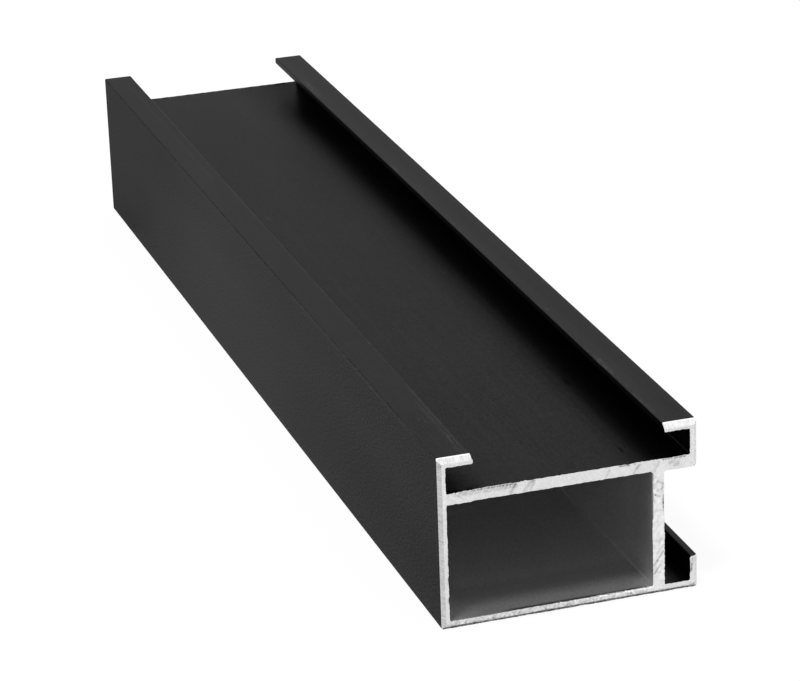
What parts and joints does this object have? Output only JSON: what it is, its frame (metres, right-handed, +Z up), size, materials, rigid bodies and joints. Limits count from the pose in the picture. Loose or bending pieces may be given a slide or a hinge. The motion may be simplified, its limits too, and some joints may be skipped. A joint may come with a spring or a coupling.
{
  "type": "aluminium extrusion profile",
  "caption": "Cut length of extruded aluminium joist profile: closed chamber, lipped clip channel on top, and a ledge with a side channel; bevelled sawn end.",
  "frame": {"origin": "middle of the base, on the surface that the profile lies on", "axes": "+X across the section from the full-height wall to the ledge side, +Y along the stock away from the bevelled sawn end, +Z up from the base to the lipped channel"},
  "size_m": [0.06, 0.308, 0.0403],
  "materials": {
    "black_anodised_aluminium": "matte black anodised, bare sawn ends and bare chamber inside"
  },
  "bodies": {
    "root": {"extrusion_profile": "black_anodised_aluminium"}
  },
  "joints": []
}
